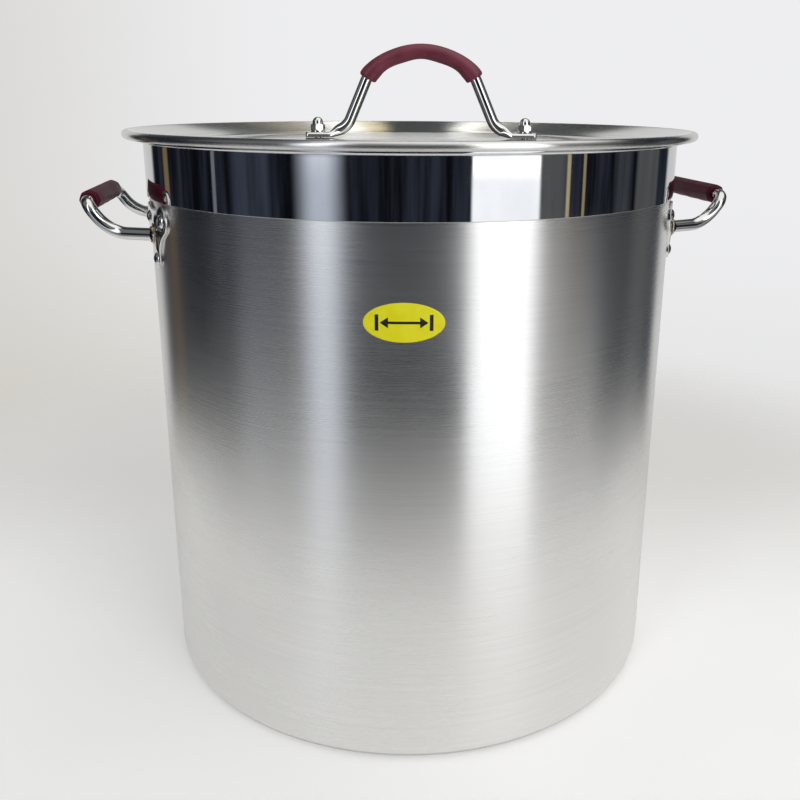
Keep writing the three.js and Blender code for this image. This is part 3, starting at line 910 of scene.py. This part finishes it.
def make_lid_rod(polished):
    """A round rod whose ends are forged flat into tabs."""
    path = lid_rod_path()
    parting = 6  # how fast a tab's two rounded sides part above its middle

    def flatness(point):
        return smooth(abs(point.x), TAB_INNER - FORGED_LENGTH, TAB_INNER)

    def tab_end(to_tip):
        """Shrinks from 1 toward 0 over a tab's rounded corners."""
        if to_tip > TAB_CORNER:
            return 1.0
        return sqrt(max(0.02, 1 - (1 - to_tip / TAB_CORNER) ** 2))

    def section(index):
        point = path[index]
        flat = flatness(point)
        end = tab_end(TAB_OUTER - abs(point.x))
        wide = mix(ROD_RADIUS, TAB_HALF_WIDTH, flat) - TAB_CORNER * (1 - end) * flat
        tall = mix(ROD_RADIUS, TAB_HALF_THICKNESS, flat)
        edge = mix(wide, TAB_EDGE, flat)
        ring = []
        for turn in turns(64):
            crown = TAB_CROWN if turn < pi else -TAB_CROWN
            side = min(1.0, max(-1.0, parting * cos(turn)))
            across = edge * cos(turn) + (wide - edge) * side
            ring.append((across, (tall + crown * flat) * sin(turn)))
        return ring

    lowered = []
    for point in path:
        drop = (ROD_RADIUS - TAB_HALF_THICKNESS + TAB_CROWN) * flatness(point)
        lowered.append(point - Vector((0, 0, drop)))
    rings = moved(tube_rings(lowered, section, (0, -1, 0)), handle_matrix())
    rod = mesh_piece("lid_handle_bar", rings, polished)
    place_piece(rod, "lid", "lid_handle_rod")


def make_lid_grip(silicone):
    """A sleeve that is thicker toward its ends, with shallow finger waves underneath."""
    path = arch_points(GRIP_REACH, 110)

    def radius(share, turn):
        aside = abs(2 * share - 1)
        swell = (LID_GRIP_END_RADIUS - LID_GRIP_RADIUS) * smooth(aside, 0.35, 0.95)
        under = smooth(-sin(turn), 0.0, 0.9)
        waves = 0.45 * (1 - cos(2 * pi * 3 * share)) * under
        waves *= 1 - smooth(aside, 0.7, 0.95)
        return LID_GRIP_RADIUS + swell + 0.35 * under - waves

    rings = moved(sleeve_rings(path, radius, (0, -1, 0), 2.0), handle_matrix())
    grip = mesh_piece("lid_handle_sleeve", rings, silicone, closed=True)
    place_piece(grip, "lid", "lid_handle_grip")


def make_cap_nut(end, across, polished):
    """An acorn nut: a chamfered hexagon on a small collar, with a domed cap."""
    base = LID_FLOOR + 2 * TAB_HALF_THICKNESS + 0.35
    collar_top = base + NUT_COLLAR
    top = base + NUT_HEX_HEIGHT
    side = pi / 3
    cap_radius = NUT_FLAT - 0.7
    collar = [(4, base), (5.75, base), (5.8, base + NUT_COLLAR / 2), (5.7, collar_top)]
    collar.append((5.2, collar_top + 0.1))
    hexagon = [
        (5.2, collar_top + 0.15), (5.9, collar_top + 0.8), (6.5, collar_top + 1.2),
        (6.5, top - 1.4), (5.95, top - 0.9), (5.45, top - 0.45), (5.0, top - 0.1),
    ]
    cap = [(cap_radius + 0.25, top), (cap_radius, top + 0.35)]
    cap += arc((0, base + NUT_HEIGHT - cap_radius), cap_radius, 0, 88, 18)
    rings = turned_rings(collar, 96)
    for limit, height in hexagon:
        ring = []
        for turn in turns(96):
            radius = NUT_FLAT / cos((turn - NUT_TURN) % side - side / 2)
            ring.append((*polar(min(radius, limit), turn), height))
        rings.append(ring)
    rings += turned_rings(cap, 96)
    nut = mesh_piece(f"cap_nut_{end}", moved(rings, handle_matrix(across)), polished)
    place_piece(nut, "lid", f"lid_cap_nut_{end}")


def make_screw(end, across, polished):
    """A pan-head screw under the lid, with a cross recess."""
    seat = LID_FLOOR - LID_SHEET - 0.1
    face = seat - 2.45
    face_radius = 3.6
    head = [(5.25, 0), (5.25, 1), (5.0, 1.6), (4.5, 2.05), (3.8, 2.35)]
    profile = [(SCREW_RADIUS, seat + 6), (SCREW_RADIUS, seat)]
    profile += [(radius, seat - drop) for radius, drop in head]
    rings = turned_rings(profile, 96)
    for share in shares(12):
        radius = face_radius * (1 - share) + 0.02
        ring = []
        for x, y in circle(radius, 96):
            slot = min(abs(x), abs(y))
            recess = 1.5 * (1 - smooth(slot, 0.45, 0.7)) * (1 - smooth(radius, 2.5, 3.0))
            ring.append((x, y, face + recess))
        rings.append(ring)
    screw = mesh_piece(f"handle_screw_{end}", moved(rings, handle_matrix(across)), polished)
    place_piece(screw, "lid", f"lid_screw_{end}")


def make_label(film, ink):
    """A yellow oval sticker. Its print is a plain width mark: a double arrow between two bars."""
    inner = POT_RADIUS + 0.02
    oval = [
        (LABEL_HALF_WIDTH * cos(turn), LABEL_HEIGHT + LABEL_HALF_HEIGHT * sin(turn))
        for turn in turns(120)
    ]
    rings = wall_plate_rings(oval, (0, LABEL_HEIGHT), LABEL_ANGLE, inner, LABEL_THICKNESS, 0.1)
    label = mesh_piece("size_sticker", rings, film)
    place_piece(label, "pot", "size_label")
    marks = []
    for sign in (-1, 1):
        bar_place, *bar_size = PRINT_BAR
        marks.append(box_outline(sign * bar_place, *bar_size))
        marks.append([
            (sign * ARROW_TIP, LABEL_HEIGHT),
            (sign * ARROW_NECK, LABEL_HEIGHT + sign * ARROW_HALF_HEIGHT),
            (sign * ARROW_NECK, LABEL_HEIGHT - sign * ARROW_HALF_HEIGHT),
        ])
    marks.append(box_outline(*PRINT_SHAFT))
    prints = []
    for outline in marks:
        centre = tuple(sum(values) / len(outline) for values in zip(*outline))
        rings = wall_plate_rings(
            denser(outline), centre, LABEL_ANGLE, inner + LABEL_THICKNESS, PRINT_THICKNESS, 0.01,
        )
        prints.append(mesh_piece("print", rings, ink))
    mark = join_pieces(prints, "size_sticker_print")
    place_piece(mark, "pot")


def box_outline(across, half_width, half_height):
    """A rectangle at half the label's height, anticlockwise."""
    corners = ((-1, -1), (1, -1), (1, 1), (-1, 1))
    return [(across + x * half_width, LABEL_HEIGHT + y * half_height) for x, y in corners]


def denser(outline):
    """The outline with extra points along each straight side."""
    steps = 8
    points = []
    for start, end in zip(outline, outline[1:] + outline[:1]):
        for step in range(steps):
            points.append(tuple(a + (b - a) * step / steps for a, b in zip(start, end)))
    return points


# ---------- studio ----------

def make_camera():
    data = bpy.data.cameras.new("camera")
    data.sensor_width = 36
    data.lens = CAMERA_LENS
    data.shift_x, data.shift_y = CAMERA_SHIFT
    data.clip_start = 0.01
    data.clip_end = 50
    camera = bpy.data.objects.new("camera", data)
    bpy.context.scene.collection.objects.link(camera)
    look = CAMERA_AZIMUTH + pi - CAMERA_YAW
    ahead = Vector((*polar(cos(CAMERA_PITCH), look), -sin(CAMERA_PITCH)))
    right = ahead.cross(Vector((0, 0, 1))).normalized()
    up = right.cross(ahead)
    rolled_right = right * cos(CAMERA_ROLL) - up * sin(CAMERA_ROLL)
    rolled_up = up * cos(CAMERA_ROLL) + right * sin(CAMERA_ROLL)
    camera.matrix_world = Matrix((rolled_right, rolled_up, -ahead)).transposed().to_4x4()
    camera.location = Vector((*polar(CAMERA_DISTANCE, CAMERA_AZIMUTH), CAMERA_HEIGHT)) * MM
    bpy.context.scene.camera = camera


# What stands round the kettle, for the metal to mirror. Each entry has its middle in degrees to
# the right of the camera's side, half its width, the width of its soft sides, its lowest and
# highest elevation, the height of their soft edges, and its light.
SURROUNDINGS = [
    (180, 41, 5, -90, 19, 1.5, (0.66, 0.66, 0.65)),  # backdrop
    (180, 50, 12, 19, 60, 1.5, (0.055, 0.059, 0.053)),  # room above it
    (0, 80, 30, 14, 64, 4, (0.17, 0.17, 0.17)),  # room in front
    (38.3, 13.5, 1.3, -4.6, 60, 0.6, (2.4, 2.4, 2.4)),  # softbox
    (38.3, 13.5, 1.6, -45, -4.6, 0.6, (1.34, 1.36, 1.4)),  # its skirt
    (-36.3, 1.5, 10, 0, 60, 6, (2.2, 2.3, 2.45)),  # window
    (-36.3, 1.5, 11, -45, 2, 3, (0.62, 0.67, 0.76)),  # its sill
    (-62, 12, 12, -60, -16, 8, (0.24, 0.24, 0.24)),  # pale floor to the left and right
    (68, 14, 14, -60, -14, 8, (0.4, 0.4, 0.4)),
    (58, 2, 9, -30, 30, 5, (0.1, 0.1, 0.095)),  # furniture and brass to the right
    (65.8, 0.5, 0.7, -14, 1, 1, (0.5, 0.4, 0.22)),
    (73.6, 0.4, 0.6, -14, -1, 1, (0.34, 0.27, 0.14)),
    (115, 8, 3, -30, 10, 3, (0.085, 0.088, 0.085)),
    (96, 3, 4, -30, 12, 3, (0.03, 0.032, 0.03)),
    (-68, 7, 4, -30, 12, 3, (0.024, 0.028, 0.042)),  # furniture to the left
    (-86.2, 0.6, 0.7, -12, 0, 1, (0.19, 0.2, 0.22)),
    (-120.5, 1.6, 1.2, -20, 4, 2, (0.2, 0.13, 0.05)),
    (-175.4, 0.1, 0.15, 23, 44, 2, (0.16, 0.14, 0.08)),  # lamps behind the kettle
    (-176.4, 0.35, 0.2, 23, 44, 2, (0.33, 0.27, 0.15)),
    (-178, 0.5, 0.1, 23, 44, 2, (1.9, 1.9, 1.85)),
    (-178.9, 0.3, 0.08, 23, 44, 2, (1.1, 0.95, 0.62)),
    (178.3, 0.33, 0.1, 23, 44, 2, (2.2, 2.2, 2.1)),
    (177.8, 0.05, 0.2, 23, 44, 2, (0.6, 0.5, 0.33)),
]
DARK_ROOM = (0.016, 0.019, 0.028)
OVERHEAD_LIGHT = (1.22, 1.22, 1.21)
OVERHEAD_DIRECTION = (-0.08, -0.26, 0.962)  # its parts away from the camera, to the left and up
OVERHEAD_EDGE = (0.72, 0.88)  # cosine of the angle to it where it starts and where it's full

# What the camera sees behind the kettle: the tones at the right and left of each part.
UPPER_BACKDROP = ((0.855, 0.855, 0.87), (0.665, 0.655, 0.63))
LOWER_BACKDROP = ((0.76, 0.76, 0.755), (0.61, 0.59, 0.53))

TABLE_RADIUS = 1.2  # the table's sizes are in metres
TABLE_SHIFT = 0.1  # it reaches further behind the kettle than in front
TABLE_GAP = 0.0003


def make_world():
    """A soft studio: the surroundings as the metal sees them, an overhead glow, and a plain pale
    backdrop where the camera looks straight at it."""
    world = bpy.data.worlds.new("studio")
    bpy.context.scene.world = world
    world.use_nodes = True
    nodes = Nodes(world.node_tree)
    nodes.tree.nodes.clear()

    def vector(operation, inputs, output="Vector"):
        return nodes.add("ShaderNodeVectorMath", inputs, operation=operation).outputs[output]

    def light_of(thing):
        middle, half_width, soft, low, high, edge, light = thing
        aside = nodes.math("ABSOLUTE", nodes.math("SUBTRACT", angle, middle))
        aside = nodes.math("MINIMUM", aside, nodes.math("SUBTRACT", 360.0, aside))
        share = nodes.ramp(aside, half_width, half_width + soft, 1.0, 0.0)
        share = nodes.times(share, nodes.ramp(height, low - edge, low + edge))
        share = nodes.times(share, nodes.ramp(height, high - edge, high + edge, 1.0, 0.0))
        return vector("SCALE", {0: light, "Scale": share})

    turned = nodes.add("ShaderNodeVectorRotate", {
        "Vector": nodes.add("ShaderNodeTexCoord").outputs["Generated"],
        "Angle": pi - CAMERA_AZIMUTH,
    }, rotation_type="Z_AXIS").outputs["Vector"]
    at = nodes.add("ShaderNodeSeparateXYZ", {"Vector": turned}).outputs
    angle = nodes.math("ARCTAN2", nodes.times(at["Y"], -1.0), nodes.times(at["X"], -1.0))
    angle = nodes.times(angle, degrees(1))
    height = nodes.times(nodes.math("ARCSINE", at["Z"]), degrees(1))

    shelf_place = nodes.add("ShaderNodeCombineXYZ", {"X": angle, "Y": nodes.times(height, 0.25)})
    shelves = nodes.add("ShaderNodeTexNoise", {
        "Vector": shelf_place.outputs["Vector"], "Scale": 0.16, "Detail": 4.0, "Roughness": 0.65,
    }).outputs["Fac"]
    room = vector("SCALE", {0: DARK_ROOM, "Scale": nodes.ramp(shelves, 0.35, 0.7, 0.25, 1.9)})
    for thing in SURROUNDINGS:
        room = vector("ADD", {0: room, 1: light_of(thing)})
    toward = vector("DOT_PRODUCT", {0: turned, 1: OVERHEAD_DIRECTION}, "Value")
    lit = nodes.blend(nodes.ramp(toward, *OVERHEAD_EDGE), room, OVERHEAD_LIGHT)

    upper = nodes.blend(nodes.ramp(at["Y"], 0.1, 0.55), *UPPER_BACKDROP)
    lower = nodes.blend(nodes.ramp(at["Y"], -0.35, 0.45), *LOWER_BACKDROP)
    backdrop = nodes.blend(nodes.ramp(at["Z"], -0.42, -0.08), lower, upper)
    seen = nodes.add("ShaderNodeLightPath").outputs["Is Camera Ray"]
    background = nodes.add("ShaderNodeBackground", {"Color": nodes.blend(seen, lit, backdrop)})
    output = nodes.add("ShaderNodeOutputWorld")
    nodes.feed(background.outputs["Background"], output.inputs["Surface"])


def make_floor():
    """A pale table top that fades into the backdrop. Its colour grows darker toward the back, painted shade
    for the light falling off, and it glows a little, painted light.
    """
    points = [(x, y, 0) for x, y in circle(TABLE_RADIUS, 96)]
    mesh = bpy.data.meshes.new("floor")
    mesh.from_pydata(points, [], [tuple(range(len(points)))])
    floor = bpy.data.objects.new("floor", mesh)
    back = CAMERA_AZIMUTH + pi
    floor.location = (*polar(TABLE_SHIFT, back), -TABLE_GAP)
    bpy.context.scene.collection.objects.link(floor)
    # The table top's own glow is painted light that brightens it beyond what the studio lights give.
    shader = Shader("table_top_painted_light", Roughness=0.6, Specular_IOR_Level=0.25, Emission_Strength=0.33)
    shader.set(Emission_Color=(1, 0.99, 0.97, 1))
    mottle = shader.noise(6)
    near = shader.blend(shader.spread(mottle), (0.78, 0.775, 0.76), (0.81, 0.805, 0.795))
    at = shader.coordinates()
    depth = shader.plus(shader.times(at["X"], cos(back)), shader.times(at["Y"], sin(back)))
    # Painted shade: the top's colour darkens toward the back, where the light falls off.
    colour = shader.blend(shader.ramp(depth, -0.15, 0.22), near, (0.53, 0.52, 0.5))
    clear = shader.ramp(shader.distance_from_axis(), 0.5, 0.88)
    glass = shader.add("ShaderNodeBsdfTransparent").outputs["BSDF"]
    mix = shader.add("ShaderNodeMixShader", {0: clear, 1: shader.surface.outputs["BSDF"], 2: glass})
    shader.feed(mix.outputs["Shader"], shader.tree.nodes["Material Output"].inputs["Surface"])
    shader.set(Base_Color=colour)
    mesh.materials.append(shader.material)


# ---------- assembly ----------

# Deep, light and rubbed tones of the sleeves. The sleeves are one silicone: the side sleeves' tones are a
# darker copy of the lid sleeve's, painted shade for their faces toward the dark room.
SIDE_SLEEVE_SHADED_TONES = ((0.07, 0.006, 0.019), (0.1, 0.009, 0.027), (0.12, 0.02, 0.04))
LID_SLEEVE_TONES = ((0.16, 0.017, 0.036), (0.22, 0.028, 0.056), (0.29, 0.06, 0.09))

make_camera()
make_world()
make_floor()
bpy.context.scene.view_settings.view_transform = "Standard"

polished = mirror_steel("polished_rod", (0.72, 0.715, 0.7), 0.07, 0.00002)
mirror_band = mirror_steel("mirror_band", (0.66, 0.665, 0.67), 0.035, 0.00005)
# The side sleeves get a darker copy of the lid sleeve's silicone: painted shade.
shaded_side_silicone = silicone_sleeve("painted_shade_silicone", SIDE_SLEEVE_SHADED_TONES, sheen=0.0, gloss=0.1)
lid_silicone = silicone_sleeve("burgundy_silicone", LID_SLEEVE_TONES, sheen=0.2, gloss=0.55)
weld = weld_metal()

make_pot(satin_wall(), mirror_band, inside_steel(), base_steel())
for side in SIDES:
    make_side_rod(side, polished)
    make_side_grip(side, shaded_side_silicone)
    for end in ENDS:
        make_bracket(side, end, polished)
        make_rivets(side, end, polished)
        make_side_weld(side, end, weld)
make_label(label_film(), label_ink())

make_lid_pan(spun_lid())
make_lid_rod(polished)
make_lid_grip(lid_silicone)
for end, sign in (("left", -1), ("right", 1)):
    make_cap_nut(end, sign * SCREW_SPACING / 2, polished)
    make_screw(end, sign * SCREW_SPACING / 2, polished)
